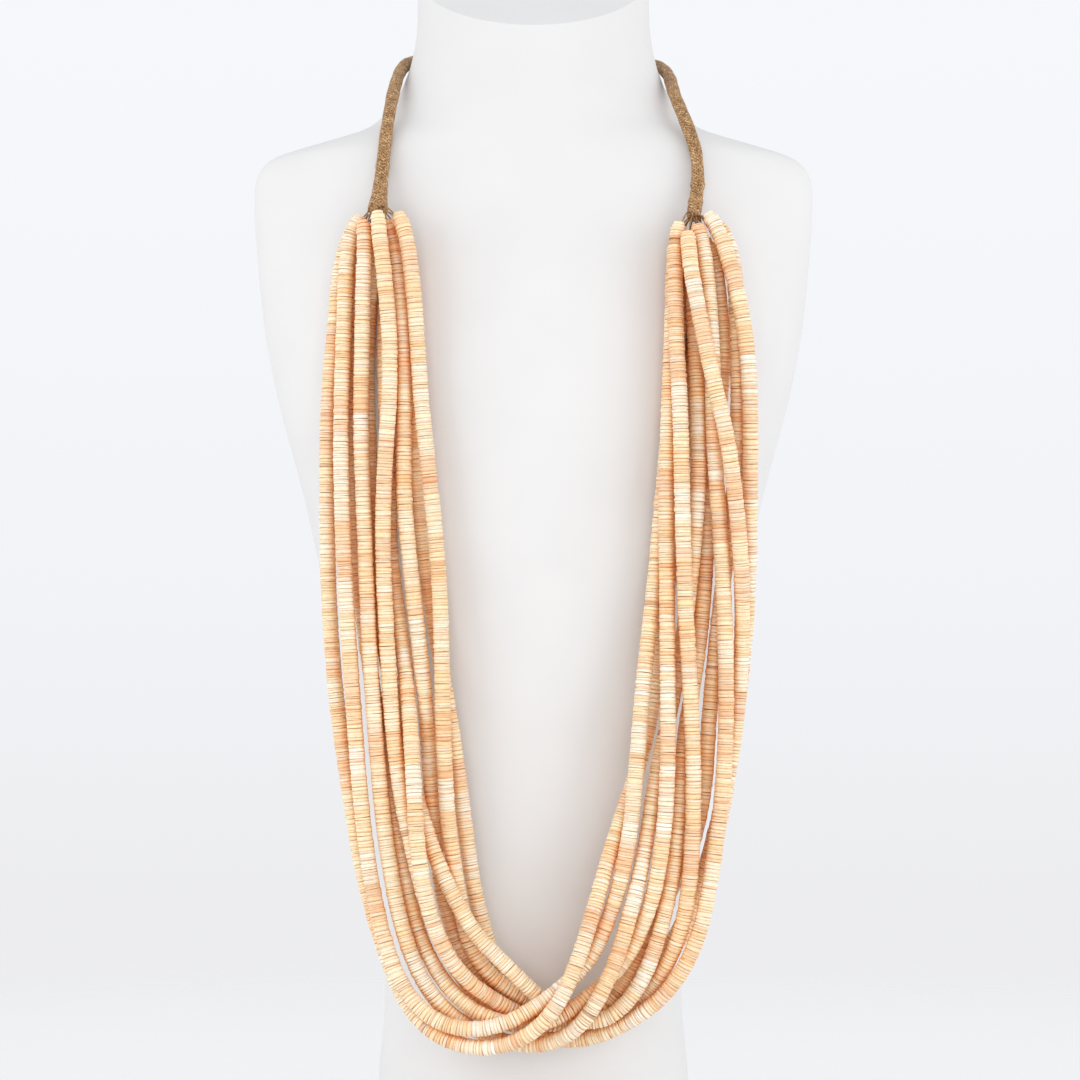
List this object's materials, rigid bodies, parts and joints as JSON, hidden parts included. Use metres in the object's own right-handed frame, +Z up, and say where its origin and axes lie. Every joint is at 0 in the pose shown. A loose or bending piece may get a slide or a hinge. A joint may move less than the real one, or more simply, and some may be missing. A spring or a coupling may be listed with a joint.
{
  "type": "shell necklace on neck bust",
  "caption": "Long many-strand necklace of thin shell disc beads on a thread-wrapped neck cord, hung on a plain display bust with sloping shoulders and a slanted neck.",
  "frame": {"origin": "middle of the bust's flat base", "axes": "X to the right as seen from the front, Y to the back, Z up"},
  "size_m": [0.209, 0.1407, 0.4623],
  "materials": {
    "bust": "satin",
    "shell": "satin",
    "cord": "matte"
  },
  "bodies": {
    "root": {"neck_bust": "bust", "neck_cord": "cord", "left_binding": "cord", "right_binding": "cord", "shell_strand_01": "shell", "shell_strand_02": "shell", "shell_strand_03": "shell", "shell_strand_04": "shell", "shell_strand_05": "shell", "shell_strand_06": "shell", "shell_strand_07": "shell", "shell_strand_08": "shell", "shell_strand_09": "shell", "shell_strand_10": "shell"}
  },
  "joints": []
}
